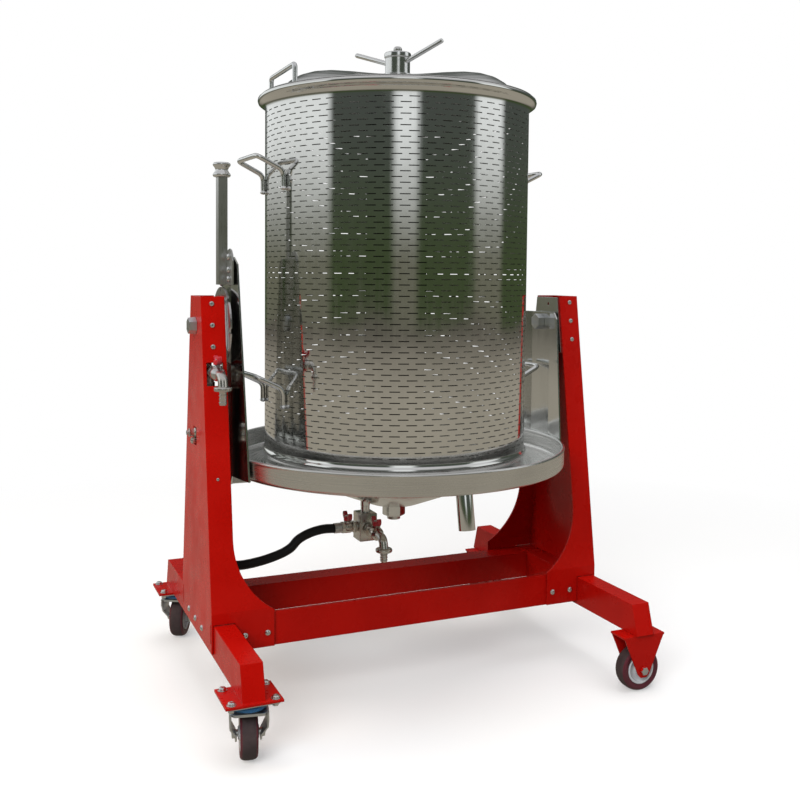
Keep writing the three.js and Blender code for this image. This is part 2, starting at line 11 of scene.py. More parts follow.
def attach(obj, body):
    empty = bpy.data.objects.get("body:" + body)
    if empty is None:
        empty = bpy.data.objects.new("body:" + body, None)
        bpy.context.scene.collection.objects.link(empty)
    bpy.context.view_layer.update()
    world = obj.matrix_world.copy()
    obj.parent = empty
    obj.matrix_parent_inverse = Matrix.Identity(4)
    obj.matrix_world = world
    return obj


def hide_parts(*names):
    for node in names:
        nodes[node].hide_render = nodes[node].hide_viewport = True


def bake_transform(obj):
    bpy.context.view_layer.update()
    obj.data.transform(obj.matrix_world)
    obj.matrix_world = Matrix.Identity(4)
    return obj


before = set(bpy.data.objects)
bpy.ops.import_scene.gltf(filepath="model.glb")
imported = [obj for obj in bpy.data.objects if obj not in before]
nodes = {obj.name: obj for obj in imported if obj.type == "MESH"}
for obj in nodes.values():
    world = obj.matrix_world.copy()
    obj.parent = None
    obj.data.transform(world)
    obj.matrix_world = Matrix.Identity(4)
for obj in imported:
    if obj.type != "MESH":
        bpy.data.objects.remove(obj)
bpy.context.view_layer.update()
MM = 0.001


# ---- camera ----
CAMERA_AT = (-0.82256, -1.90847, 0.83493)
CAMERA_AHEAD = Vector((0.40033, 0.91478, -0.05400)).normalized()
CAMERA_ROLL = -0.009
FOCAL_MM, SENSOR_MM = 44.03, 36.0


def set_camera():
    """The camera is in front of the press and to its left, tipped a little down."""
    lens = bpy.data.cameras.new("studio_camera")
    camera = bpy.data.objects.new("studio_camera", lens)
    bpy.context.scene.collection.objects.link(camera)
    camera.rotation_mode = "QUATERNION"
    upright = CAMERA_AHEAD.to_track_quat("-Z", "Y")
    camera.rotation_quaternion = Quaternion(CAMERA_AHEAD, CAMERA_ROLL) @ upright
    camera.location = CAMERA_AT
    lens.sensor_width = SENSOR_MM
    lens.lens = FOCAL_MM
    lens.shift_x = -0.001
    lens.shift_y = -0.0906
    lens.clip_start = 0.05
    lens.clip_end = 60.0
    bpy.context.scene.camera = camera
    bpy.context.scene.view_settings.view_transform = "Standard"


set_camera()


# ---- surfaces: a skin is (points, [face arrays]) ----
def unit(v):
    v = np.asarray(v, float)
    return v / np.linalg.norm(v, axis=-1, keepdims=True)


def grid_faces(m, n, wrap_m, wrap_n):
    """Four-cornered faces between neighbours of an m by n grid; a wrapped side joins its ends."""
    i = np.arange(m if wrap_m else m - 1)[:, None]
    j = np.arange(n if wrap_n else n - 1)[None]
    up, along = (i + 1) % m, (j + 1) % n
    return np.stack([i * n + j, i * n + along, up * n + along, up * n + j], -1).reshape(-1, 4)


def eased(points, radius, steps=5, closed=True):
    """Each corner p of a line becomes (1-t)^2 a + 2t(1-t) p + t^2 b, with a and b on its two sides."""
    p = np.asarray(points, float)
    back, on = np.roll(p, 1, 0) - p, np.roll(p, -1, 0) - p
    long_back = np.linalg.norm(back, axis=1, keepdims=True)
    long_on = np.linalg.norm(on, axis=1, keepdims=True)
    r = np.broadcast_to(np.asarray(radius, float), len(p))[:, None]
    a = p + back / long_back * np.minimum(r, long_back * 0.48)
    b = p + on / long_on * np.minimum(r, long_on * 0.48)
    t = np.linspace(0, 1, steps)[None, :, None]
    bent = (1 - t) ** 2 * a[:, None] + 2 * t * (1 - t) * p[:, None] + t * t * b[:, None]
    bent = bent.reshape(-1, p.shape[1])
    return bent if closed else np.concatenate([p[:1], bent[steps:-steps], p[-1:]])


def across(along):
    """Two unit vectors square to `along` and to each other."""
    w = unit(along)
    u = unit(np.cross(w, (0.0, 0.0, 1.0) if abs(w[2]) < 0.9 else (0.0, 1.0, 0.0)))
    return u, np.cross(w, u), w


def turned(profile, at=(0, 0, 0), along=(0, 0, 1), sides=64, ring=False, start=0.0):
    """Profile (r, h) in mm turned about an axis: at + r cos t u + r sin t v + h w."""
    p = np.asarray(profile, float) * MM
    u, v, w = across(along)
    t = start + np.arange(sides) * 2 * math.pi / sides
    round_it = np.cos(t)[:, None] * u + np.sin(t)[:, None] * v
    points = np.asarray(at, float) * MM + p[:, 0, None, None] * round_it + p[:, 1, None, None] * w
    faces = [grid_faces(len(p), sides, ring, True)]
    if not ring:
        faces += [np.arange(sides)[None, ::-1], (len(p) - 1) * sides + np.arange(sides)[None]]
    return points.reshape(-1, 3), faces


def carried(line, radius, normal, sides=16):
    """A circle carried along a line that lies in one plane: c(s) + r(s) (cos t n + sin t b)."""
    c = np.asarray(line, float) * MM
    tangent = unit(np.gradient(c, axis=0))
    n = np.broadcast_to(np.asarray(normal, float), c.shape)
    n = unit(n - (n * tangent).sum(1, keepdims=True) * tangent)
    b = np.cross(tangent, n)
    r = np.broadcast_to(np.asarray(radius, float) * MM, len(c))[:, None, None]
    t = np.arange(sides) * 2 * math.pi / sides
    ring = np.cos(t)[None, :, None] * n[:, None] + np.sin(t)[None, :, None] * b[:, None]
    points = (c[:, None] + r * ring).reshape(-1, 3)
    caps = [np.arange(sides)[None, ::-1], (len(c) - 1) * sides + np.arange(sides)[None]]
    return points, [grid_faces(len(c), sides, False, True), *caps]


def slab(outline, a, b, axis, lip=1.0):
    """An outline in the plane across an axis, pulled from a to b, with both its edges taken in."""
    p = np.asarray(outline, float)
    on, back = unit(np.roll(p, -1, 0) - p), unit(p - np.roll(p, 1, 0))
    inward = unit(np.stack([-(on + back)[:, 1], (on + back)[:, 0]], -1))
    area = 0.5 * np.sum(p[:, 0] * np.roll(p[:, 1], -1) - np.roll(p[:, 0], -1) * p[:, 1])
    inward = inward * np.sign(area)
    depth = np.array([a, a + lip * 0.3, a + lip, b - lip, b - lip * 0.3, b])
    inset = np.array([lip, lip * 0.3, 0, 0, lip * 0.3, lip])
    flat = p[None] + inward[None] * inset[:, None, None]
    h = np.broadcast_to(depth[:, None, None], (6, len(p), 1))
    order = {"x": (2, 0, 1), "y": (0, 2, 1), "z": (0, 1, 2)}[axis]
    points = (np.concatenate([flat, h], -1)[..., order] * MM).reshape(-1, 3)
    n = len(p)
    return points, [grid_faces(6, n, False, True), np.arange(n)[None, ::-1], 5 * n + np.arange(n)[None]]


def many(skin, places):
    """One skin repeated: every copy is the skin's points shifted by its place in mm."""
    points, faces = skin
    shift = np.asarray(places, float)[:, None] * MM
    steps = np.arange(len(places))[:, None, None] * len(points)
    moved = (points[None] + shift).reshape(-1, 3)
    return moved, [(f[None] + steps).reshape(-1, f.shape[1]) for f in faces]


def spun(skin, degrees, x=0.0, y=0.0):
    """The skin turned about an upright axis through (x, y) in mm."""
    a = math.radians(degrees)
    c, s = math.cos(a), math.sin(a)
    centre = np.array([x, y, 0.0]) * MM
    return (skin[0] - centre) @ np.array([[c, s, 0], [-s, c, 0], [0, 0, 1]]) + centre, skin[1]


def build(name, skins, crease=32.0, outward=True):
    """Puts the skins' points and faces into one mesh object at the origin, creased at its edges."""
    count = np.cumsum([0] + [len(s[0]) for s in skins])
    points = np.concatenate([s[0] for s in skins])
    faces = [f + first for s, first in zip(skins, count) for f in s[1]]
    corners = np.concatenate([f.ravel() for f in faces])
    sizes = np.concatenate([np.full(len(f), f.shape[1]) for f in faces])
    starts = np.concatenate([[0], np.cumsum(sizes)[:-1]])
    mesh = bpy.data.meshes.new(name)
    mesh.vertices.add(len(points))
    mesh.vertices.foreach_set("co", points.ravel())
    mesh.loops.add(len(corners))
    mesh.loops.foreach_set("vertex_index", corners.astype(np.int32))
    mesh.polygons.add(len(sizes))
    mesh.polygons.foreach_set("loop_start", starts.astype(np.int32))
    mesh.update(calc_edges=True)
    if outward:
        work = bmesh.new()
        work.from_mesh(mesh)
        bmesh.ops.recalc_face_normals(work, faces=work.faces)
        work.to_mesh(mesh)
        work.free()
    mesh.shade_smooth()
    mesh.set_sharp_from_angle(angle=math.radians(crease))
    made = bpy.data.objects.new(name, mesh)
    bpy.context.scene.collection.objects.link(made)
    return made


def piece(name, skins, finish, body, stands_for=(), crease=32.0):
    """Builds a piece, gives it its finish and lets it ride on its body."""
    made = build(name, skins, crease)
    made.data.materials.append(finish)
    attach(made, body)
    if stands_for:
        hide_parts(*stands_for)
    return made


# ---- finishes ----
def socket_key(key):
    """i0, i1, ... mean a socket's number; any other word is its name with _ for each space."""
    return int(key[1:]) if key[0] == "i" and key[1:].isdigit() else key.replace("_", " ")


class Finish:
    """A material whose nodes are added one by one and wired to its surface shader."""

    def __init__(self, name, **constants):
        self.material = bpy.data.materials.new(name)
        self.material.use_nodes = True
        self.tree = self.material.node_tree
        self.shader = self.tree.nodes["Principled BSDF"]
        for key, value in constants.items():
            self.shader.inputs[key.replace("_", " ")].default_value = value
        self.place = self.node("TexCoord").outputs["Object"]

    def node(self, kind, settings=(), **inputs):
        made = self.tree.nodes.new("ShaderNode" + kind)
        for key, value in dict(settings).items():
            setattr(made, key, value)
        for key, value in inputs.items():
            self.feed(made.inputs[socket_key(key)], value)
        return made

    def feed(self, socket, value):
        if isinstance(value, bpy.types.NodeSocket):
            self.tree.links.new(value, socket)
        else:
            socket.default_value = value

    def stretched(self, x, y, z):
        return self.node("Mapping", Vector=self.place, Scale=(x, y, z)).outputs[0]

    def noise(self, scale, detail=3.0, where=None, roughness=0.5):
        made = self.node("TexNoise", Vector=where or self.place, Scale=scale, Detail=detail,
                         Roughness=roughness)
        return made.outputs["Fac"]

    def ramp(self, value, stops):
        made = self.node("ValToRGB", Fac=value)
        band = made.color_ramp
        for spot, colour in stops[1:-1]:
            band.elements.new(spot).color = colour
        band.elements[0].position, band.elements[0].color = stops[0]
        band.elements[-1].position, band.elements[-1].color = stops[-1]
        return made.outputs["Color"]

    def span(self, value, low, high, a=0.0, b=1.0):
        made = self.node("MapRange", Value=value, From_Min=a, From_Max=b, To_Min=low, To_Max=high)
        return made.outputs["Result"]

    def sum(self, a, b, operation="ADD"):
        return self.node("Math", {"operation": operation}, i0=a, i1=b).outputs[0]

    def blend(self, amount, a, b, how="MIX"):
        made = self.node("MixRGB", {"blend_type": how}, Fac=amount, Color1=a, Color2=b)
        return made.outputs["Color"]

    def rounded(self, radius, bump=None):
        """Edges that catch the light as if rounded, with an optional bump on top."""
        made = self.node("Bevel", {"samples": 4}, Radius=radius)
        if bump is not None:
            self.feed(bump.inputs["Normal"], made.outputs[0])
            return bump.outputs[0]
        return made.outputs[0]

    def bump(self, height, strength, distance):
        return self.node("Bump", Height=height, Strength=strength, Distance=distance)

    def sharp_edge_mask(self, radius):
        """Near 0 on flat faces and rising to 1 on sharp edges."""
        soft = self.node("Bevel", {"samples": 4}, Radius=radius).outputs[0]
        hard = self.node("NewGeometry").outputs["Normal"]
        dot = self.node("VectorMath", {"operation": "DOT_PRODUCT"}, i0=soft, i1=hard).outputs["Value"]
        return self.span(dot, 0.0, 1.0, 0.995, 0.80)


def rgb(r, g, b):
    return (r, g, b, 1.0)


def powder_coat():
    """Red baked paint: clouded colour, scuffs, a painted highlight of paler red on sharp edges and a fine
    orange-peel skin.
    """
    f = Finish("red_powder_coat", Roughness=0.3, Coat_Weight=0.05, Coat_Roughness=0.10,
               Specular_IOR_Level=0.25, Specular_Tint=rgb(1.0, 0.32, 0.26))
    cloud = f.noise(5.0, 4.0)
    paint = f.ramp(cloud, [(0.3, rgb(0.34, 0.003, 0.0015)), (0.52, rgb(0.40, 0.004, 0.002)),
                           (0.75, rgb(0.45, 0.007, 0.004))])
    scuff = f.ramp(f.noise(60.0, 6.0, f.stretched(1.0, 1.0, 0.25), 0.7),
                   [(0.62, rgb(0, 0, 0)), (0.78, rgb(1, 1, 1))])
    # Painted highlight: sharp edges, broken up by noise, are lightened to a paler red as if they caught the
    # light.
    edge = f.sum(f.sharp_edge_mask(0.0025), f.span(f.noise(180.0, 5.0), 0.0, 1.0, 0.45, 0.75), "MULTIPLY")
    paint = f.blend(f.sum(edge, 0.35, "MULTIPLY"), paint, rgb(0.60, 0.06, 0.04))
    paint = f.blend(f.sum(scuff, 0.10, "MULTIPLY"), paint, rgb(0.26, 0.012, 0.008))
    f.feed(f.shader.inputs["Base Color"], paint)
    rough = f.sum(f.span(f.noise(24.0, 4.0), 0.22, 0.36, 0.3, 0.7), f.sum(scuff, 0.08, "MULTIPLY"))
    f.feed(f.shader.inputs["Roughness"], rough)
    peel = f.sum(f.noise(420.0, 2.0), f.sum(f.noise(90.0, 2.0), 0.8, "MULTIPLY"))
    f.feed(f.shader.inputs["Normal"], f.rounded(0.0022, f.bump(peel, 0.04, 0.0005)))
    return f.material


def polished(name, tint, low, high, grain, radius=0.0):
    """Polished stainless sheet: faint marks of the polishing belt and slow waves in the sheet."""
    f = Finish(name, Metallic=1.0)
    streak = f.noise(1.0, 4.0, f.stretched(*grain), 0.6)
    cloud = f.noise(4.0, 3.0)
    dark = tuple(c * 0.86 for c in tint)
    f.feed(f.shader.inputs["Base Color"], f.ramp(cloud, [(0.3, rgb(*dark)), (0.7, rgb(*tint))]))
    smear = f.ramp(f.noise(9.0, 6.0, None, 0.65), [(0.45, rgb(0, 0, 0)), (0.75, rgb(1, 1, 1))])
    rough = f.sum(f.span(streak, low, high, 0.3, 0.7), f.sum(smear, 0.05, "MULTIPLY"))
    f.feed(f.shader.inputs["Roughness"], rough)
    waves = f.sum(f.sum(f.noise(14.0, 1.0), 6.0, "MULTIPLY"), streak)
    bump = f.bump(waves, 0.05, 0.0008)
    f.feed(f.shader.inputs["Normal"], f.rounded(radius, bump) if radius else bump.outputs[0])
    return f.material


def ground(name, tint, low, high, radius=0.0, upright=False):
    """Ground stainless: scratches that run round the part's own axis, or along its length."""
    f = Finish(name, Metallic=1.0, Anisotropic=0.3)
    if upright:
        where = f.stretched(900.0, 900.0, 14.0)
    else:
        split = f.node("SeparateXYZ", Vector=f.place)
        x, y, z = split.outputs
        flat = f.node("CombineXYZ", X=x, Y=y).outputs[0]
        far = f.node("VectorMath", {"operation": "LENGTH"}, i0=flat).outputs["Value"]
        turn = f.node("Math", {"operation": "ARCTAN2"}, i0=y, i1=x).outputs[0]
        where = f.node("CombineXYZ", X=f.sum(far, 700.0, "MULTIPLY"), Y=f.sum(turn, 3.0, "MULTIPLY"),
                       Z=f.sum(z, 700.0, "MULTIPLY")).outputs[0]
    streak = f.noise(1.0, 5.0, where, 0.65)
    cloud = f.noise(7.0, 4.0)
    dark = tuple(c * 0.82 for c in tint)
    colour = f.ramp(cloud, [(0.28, rgb(*dark)), (0.72, rgb(*tint))])
    f.feed(f.shader.inputs["Base Color"], f.blend(f.span(streak, 0.0, 0.18, 0.4, 0.7), colour,
                                                  rgb(0.45, 0.45, 0.46)))
    f.feed(f.shader.inputs["Roughness"], f.sum(f.span(streak, low, high, 0.3, 0.7),
                                               f.span(cloud, -0.03, 0.05, 0.3, 0.7)))
    bump = f.bump(streak, 0.07, 0.0005)
    f.feed(f.shader.inputs["Normal"], f.rounded(radius, bump) if radius else bump.outputs[0])
    return f.material


def plated(name, warm, cold, low, high, grain=260.0):
    """Plating over steel or cast brass: two close tints in patches and a fine cast grain."""
    f = Finish(name, Metallic=1.0)
    patch = f.noise(38.0, 5.0, None, 0.6)
    colour = f.ramp(patch, [(0.35, rgb(*warm)), (0.65, rgb(*cold))])
    grime = f.ramp(f.noise(130.0, 6.0, None, 0.7), [(0.6, rgb(0, 0, 0)), (0.8, rgb(1, 1, 1))])
    f.feed(f.shader.inputs["Base Color"], f.blend(f.sum(grime, 0.35, "MULTIPLY"), colour,
                                                  rgb(0.16, 0.14, 0.12)))
    f.feed(f.shader.inputs["Roughness"], f.sum(f.span(patch, low, high, 0.3, 0.7),
                                               f.sum(grime, 0.12, "MULTIPLY")))
    f.feed(f.shader.inputs["Normal"], f.rounded(0.0009, f.bump(f.noise(grain, 4.0), 0.12, 0.0005)))
    return f.material


def moulded(name, colour, darker, low, high, gloss=0.5, grain=500.0, strength=0.12, coat=0.0):
    """Moulded rubber or plastic: mottled colour, dull and shiny patches, a fine moulded skin."""
    f = Finish(name, Specular_IOR_Level=gloss, Coat_Weight=coat, Coat_Roughness=0.15)
    mottle = f.noise(45.0, 6.0, None, 0.65)
    dust = f.ramp(f.noise(210.0, 5.0, None, 0.7), [(0.55, rgb(0, 0, 0)), (0.8, rgb(1, 1, 1))])
    base = f.ramp(mottle, [(0.32, rgb(*darker)), (0.68, rgb(*colour))])
    pale = tuple(min(1.0, c * 1.6 + 0.03) for c in colour)
    f.feed(f.shader.inputs["Base Color"], f.blend(f.sum(dust, 0.25, "MULTIPLY"), base, rgb(*pale)))
    f.feed(f.shader.inputs["Roughness"], f.span(mottle, low, high, 0.3, 0.7))
    f.feed(f.shader.inputs["Normal"], f.bump(f.noise(grain, 3.0), strength, 0.0005).outputs[0])
    return f.material


red = powder_coat()
basket_steel = polished("polished_basket_sheet", (0.80, 0.80, 0.785), 0.05, 0.12, (120.0, 120.0, 3.0))
arm_steel = polished("polished_arm_sheet", (0.76, 0.77, 0.76), 0.09, 0.17, (60.0, 60.0, 4.0), 0.0008)
lid_steel = polished("polished_lid_sheet", (0.70, 0.70, 0.69), 0.10, 0.18, (40.0, 40.0, 40.0))
tray_steel = ground("ground_tray_sheet", (0.78, 0.775, 0.76), 0.20, 0.34)
bar_steel = ground("ground_bar", (0.72, 0.72, 0.71), 0.24, 0.38, 0.0007, upright=True)
rod_steel = plated("polished_rod", (0.78, 0.78, 0.77), (0.72, 0.73, 0.74), 0.12, 0.22, 500.0)
disc_steel = ground("turned_disc", (0.70, 0.68, 0.68), 0.24, 0.36, 0.0006, upright=True)
zinc = plated("bright_zinc", (0.66, 0.67, 0.66), (0.58, 0.61, 0.65), 0.26, 0.42)
nickel = plated("nickelled_brass", (0.64, 0.60, 0.54), (0.60, 0.60, 0.60), 0.18, 0.34)
screw_steel = plated("stainless_screw", (0.76, 0.76, 0.75), (0.66, 0.67, 0.68), 0.16, 0.28)
hose_rubber = moulded("hose_rubber", (0.008, 0.008, 0.009), (0.005, 0.005, 0.005), 0.40, 0.56, 0.25, 700.0,
                      0.10)
tread_rubber = moulded("tread_rubber", (0.060, 0.042, 0.043), (0.036, 0.026, 0.028), 0.55, 0.75, 0.35,
                       320.0, 0.3)
side_rubber = moulded("side_rubber", (0.105, 0.018, 0.028), (0.060, 0.013, 0.020), 0.42, 0.60, 0.4, 320.0,
                      0.2)
hub_plastic = moulded("hub_plastic", (0.60, 0.62, 0.64), (0.50, 0.52, 0.55), 0.32, 0.46, 0.5)
wing_coat = moulded("tap_wing_coat", (0.42, 0.012, 0.022), (0.30, 0.008, 0.016), 0.20, 0.34, 0.5, 400.0,
                    0.1, 0.4)
bladder_rubber = moulded("bladder_rubber", (0.030, 0.029, 0.028), (0.018, 0.018, 0.018), 0.5, 0.7, 0.4)
race_plastic = moulded("race_plastic", (0.02, 0.13, 0.30), (0.015, 0.09, 0.22), 0.3, 0.45, 0.5)


# ---- hose, made first ----
HOSE_POINTS = [
    (-136.3, 0, 303), (-162, 0, 303.5), (-190, 0, 298), (-214, 0, 287), (-231, 0, 271), (-257, -1, 260),
    (-300, -3, 251), (-345, -5, 249), (-380, -5, 260), (-398, -5, 292), (-402, -5, 345), (-402, -5, 480),
    (-402, -5, 606),
]


def smooth_line(points, count):
    """Cubic through the points, with each slope half the step from the point before to the next."""
    p = np.asarray(points, float)
    q = np.concatenate([2 * p[:1] - p[1:2], p, 2 * p[-1:] - p[-2:-1]])
    s = np.linspace(0, len(p) - 1 - 1e-9, count)
    k = s.astype(int)
    t = (s - k)[:, None]
    a, b, c, d = q[k], q[k + 1], q[k + 2], q[k + 3]
    return 0.5 * (2 * b + (c - a) * t + (2 * a - 5 * b + 4 * c - d) * t**2 + (3 * b - a - 3 * c + d) * t**3)


def make_hose():
    """The water hose from the crimp at the valve to the elbow of the tap."""
    line = smooth_line(HOSE_POINTS, 240)
    hose = build("water_hose", [carried(line, 9.5, (0, 1, 0), 28)])
    hose.data.materials.append(hose_rubber)
    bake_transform(hose)
    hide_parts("hose")
    path = line * MM
    length = float(np.linalg.norm(np.diff(path, axis=0), axis=1).sum())


make_hose()


# ---- basket ----
WALL_OUT, WALL_IN = 275.0, 273.0
SLOT_ROWS, SLOT_PITCH, SLOTS_ROUND = 65, 32.0, 54
FIRST_SLOT, LAST_SLOT, HALF_SLOT = 492.0, 1160.6, 0.95


def make_basket_wall():
    """Two walls r(z) round Z on one grid; cells of the grid that lie in a slot are left out of both
    walls, and a strip between the walls closes every edge between a full and an empty cell."""
    rows = SLOT_ROWS
    gap = (LAST_SLOT - FIRST_SLOT) / (rows - 1)
    cuts = np.array([-10.0, -6.0, 6.0, 10.0])
    t = (np.arange(SLOTS_ROUND)[:, None] * SLOT_PITCH + cuts).ravel() / WALL_OUT
    mid = FIRST_SLOT + gap * np.arange(rows)
    slots = np.stack([mid - HALF_SLOT, mid + HALF_SLOT], -1).ravel()
    foot = np.array([[275, 439.5], [275.4, 446], [275.2, 454], [275.2, 460], [277, 462], [279, 465],
                     [279.6, 468.5], [279, 472], [277, 475], [275.2, 477], [275, 482]])
    rim = np.array([[275, 1168], [275.3, 1173], [277, 1178], [281, 1181], [286, 1182.6], [289.2, 1185],
                    [290.4, 1189], [289.6, 1193], [287, 1195.2], [283, 1195.2], [279.5, 1192.5],
                    [277, 1188]])
    outer = np.concatenate([foot, np.stack([np.full(2 * rows, WALL_OUT), slots], -1), rim])
    inner = outer.copy()
    inner[:, 0] = WALL_IN
    inner[-12:] = [[273, 1168], [273, 1173], [273.2, 1176], [273.4, 1178], [273.6, 1180], [273.8, 1181.5],
                   [274, 1183], [274.2, 1184.5], [274.4, 1186], [274.7, 1187], [275, 1187.6], [275.6, 1188]]
    inner[-1] = (276.2, 1187.4)
    levels, cols = len(outer), len(t)

    def wall(profile):
        p = profile * MM
        r, z = p[:, 0, None], np.broadcast_to(p[:, 1, None], (levels, cols))
        return np.stack([r * np.cos(t), r * np.sin(t), z], -1)

    points = np.concatenate([wall(outer).reshape(-1, 3), wall(inner).reshape(-1, 3)])
    full = np.ones((levels + 1, cols), bool)
    full[0], full[-1] = False, False
    level = len(foot) + 2 * np.arange(rows) + 1
    even, odd = level[0::2], level[1::2]
    for shift in (0, 1, 2):
        full[np.ix_(even, np.arange(shift, cols, 4))] = False
        full[np.ix_(odd, (np.arange(2, cols + 2, 4) + shift) % cols)] = False
    off = levels * cols
    i, j = np.nonzero(full[1:-1])
    on = (j + 1) % cols
    skin = np.stack([i * cols + j, i * cols + on, (i + 1) * cols + on, (i + 1) * cols + j], -1)
    strips = []
    for upward, (i, j) in ((True, np.nonzero(full[:-1] & ~full[1:])),
                           (False, np.nonzero(~full[:-1] & full[1:]))):
        a, b = i * cols + j, i * cols + (j + 1) % cols
        strip = np.stack([a, b, b + off, a + off], -1)
        strips.append(strip if upward else strip[:, ::-1])
    before = np.roll(full, 1, 1)
    for right, (i, j) in ((True, np.nonzero(before & ~full)), (False, np.nonzero(~before & full))):
        keep = (i > 0) & (i < levels)
        i, j = i[keep] - 1, j[keep]
        a, b = i * cols + j, (i + 1) * cols + j
        strip = np.stack([a, a + off, b + off, b], -1)
        strips.append(strip if right else strip[:, ::-1])
    wall_piece = build("slotted_basket_wall", [(points, [skin, skin[:, ::-1] + off, *strips])], 40.0, False)
    slope = np.gradient(outer, axis=0)
    facing = unit(np.stack([slope[:, 1], -slope[:, 0]], -1))
    facing[(outer[:, 1] > 482.5) & (outer[:, 1] < 1168)] = (1.0, 0.0)
    out = np.stack([facing[:, :1] * np.cos(t), facing[:, :1] * np.sin(t),
                    np.broadcast_to(facing[:, 1:], (levels, cols))], -1).reshape(-1, 3)
    normals = np.zeros((len(wall_piece.data.loops), 3))
    normals[: skin.size] = out[skin.ravel()]
    straight = np.stack([-np.cos(t), -np.sin(t), np.zeros(cols)], -1)
    normals[skin.size: 2 * skin.size] = straight[skin[:, ::-1].ravel() % cols]
    wall_piece.data.normals_split_custom_set(normals.tolist())
    wall_piece.data.materials.append(basket_steel)
    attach(wall_piece, "basket")
    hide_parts("basket_shell")


def make_basket_handles():
    """Round rod carried along a bent line, with a flattened weld where each foot meets the wall."""
    for side, angle in (("left", 183.0), ("right", 3.0)):
        for level, z in (("upper", 998.0), ("lower", 573.0)):
            r = math.sqrt(280.3**2 - 61**2)
            half = [(r, 61, z), (r, 61, z + 36), (r + 50, 59.5, z + 60), (r + 53, 50, z + 62)]
            line = [(x, -y, h) for x, y, h in half] + half[::-1]
            bent = eased(line, [1, 12, 9, 9, 9, 9, 12, 1], 9, closed=False)
            rod = carried(bent, 5.0, (-0.45, 0.0, 0.89), 16)
            weld = turned([(0.4, -3), (5, -1.5), (7, 1), (6.4, 3), (5, 5)], (r - 0.5, 0, z), sides=16)
            welds = many(weld, [(0, 61, 0), (0, -61, 0)])
            piece(f"basket_grip_{side}_{level}", [spun(rod, angle), spun(welds, angle)], rod_steel,
                  "basket", [f"basket_handle_{side}_{level}"])


# ---- lid ----
LID_TABLE = np.array([[10.6, 54, 0], [36, 54, 0], [75, 43.5, 14], [112, 34.5, 25], [150, 25.5, 34],
                      [180, 18.5, 37], [208, 12, 34], [230, 6.5, 25], [250, 2.5, 0], [284, 2.5, 0]], float)
LOBE_TURN = math.radians(-23)


def make_lid():
    """Height h(r) + lobe(r) cos^2 (a - turn) over a round plate; a short average smooths both tables."""
    fine = np.linspace(0, 300, 601)
    weights = np.hanning(23) / np.hanning(23).sum()

    def soft(column):
        values = np.interp(fine, LID_TABLE[:, 0], LID_TABLE[:, column])
        return np.convolve(np.pad(values, 11, mode="edge"), weights, mode="valid")

    r = np.concatenate([np.linspace(10.6, 270, 76), np.linspace(274, 284, 5)])
    a = np.linspace(0, 2 * math.pi, 180, endpoint=False)
    plain, lobe = np.interp(r, fine, soft(1))[:, None], np.interp(r, fine, soft(2))[:, None]
    h = plain + lobe * np.cos(a - LOBE_TURN) ** 2
    x, y = r[:, None] * np.cos(a), r[:, None] * np.sin(a)
    top = np.stack([x, y, 1195.4 + h], -1)
    under = top - np.array([0, 0, 2.2])
    edge = (top[-1:] + under[-1:]) / 2 + np.stack([np.cos(a), np.sin(a), 0 * a], -1)[None] * 1.1
    both = np.concatenate([top, edge, under[::-1]]) * MM
    m, n = both.shape[:2]
    shell = (both.reshape(-1, 3), [grid_faces(m, n, True, True)])
    washer = turned(eased([(10.2, 0.3), (34, 0.3), (34, 3.0), (10.2, 3.0)], 0.6), (0, 0, 1249.2), sides=64,
                    ring=True)
    piece("lobed_lid", [shell], lid_steel, "lid", ["lid"], 60.0)
    piece("lid_washer", [washer], rod_steel, "lid")
    x, foot = -247.0, 1198.2
    line = [(x, -72, foot), (x, -72, 1240), (x, 90, 1240), (x, 90, foot)]
    rod = carried(eased(line, [1, 9, 9, 1], 9, closed=False), 5.0, (1, 0, 0), 16)
    welds = many(turned([(7.5, 0), (7, 1.5), (5, 4)], (x, 0, foot - 0.3), sides=20),
                 [(0, -72, 0), (0, 90, 0)])
    piece("lid_grip", [rod, welds], rod_steel, "lid", ["lid_handle"])


def make_star_nut():
    """A turned boss with two round arms that lean outwards and upwards."""
    boss = turned(eased([(9.4, 1250), (24.5, 1250), (26, 1252), (26, 1286), (28, 1288), (28, 1296),
                         (26, 1298), (9.4, 1298)], 0.9), sides=72, ring=True)
    arms = []
    for s in (-1, 1):
        d = math.radians(-62.5)
        way = np.array([s * math.cos(d) * 94, s * math.sin(d) * 94, 31.0])
        start = np.array([s * math.cos(d) * 23, s * math.sin(d) * 23, 1278.0])
        step = np.array([0, 0.02, 0.955, 0.985, 1.0])
        line = start + step[:, None] * way
        arms.append(carried(line, [5, 5, 5, 4.2, 1.6], (-math.sin(d), math.cos(d), 0), 20))
    piece("star_nut_and_arms", [boss, *arms], rod_steel, "star_nut", ["star_nut"])


# ---- tray and what hangs under it ----
def drill(target, skin):
    """Takes the skin's solid out of the target."""
    cutter = build("cutter", [skin])
    change = target.modifiers.new("hole", "BOOLEAN")
    change.operation, change.solver, change.object = "DIFFERENCE", "EXACT", cutter
    bpy.context.view_layer.update()
    result = bpy.data.meshes.new_from_object(target.evaluated_get(bpy.context.evaluated_depsgraph_get()))
    target.modifiers.clear()
    target.data = result
    bpy.data.objects.remove(cutter)
    result.shade_smooth()
    result.set_sharp_from_angle(angle=math.radians(32))


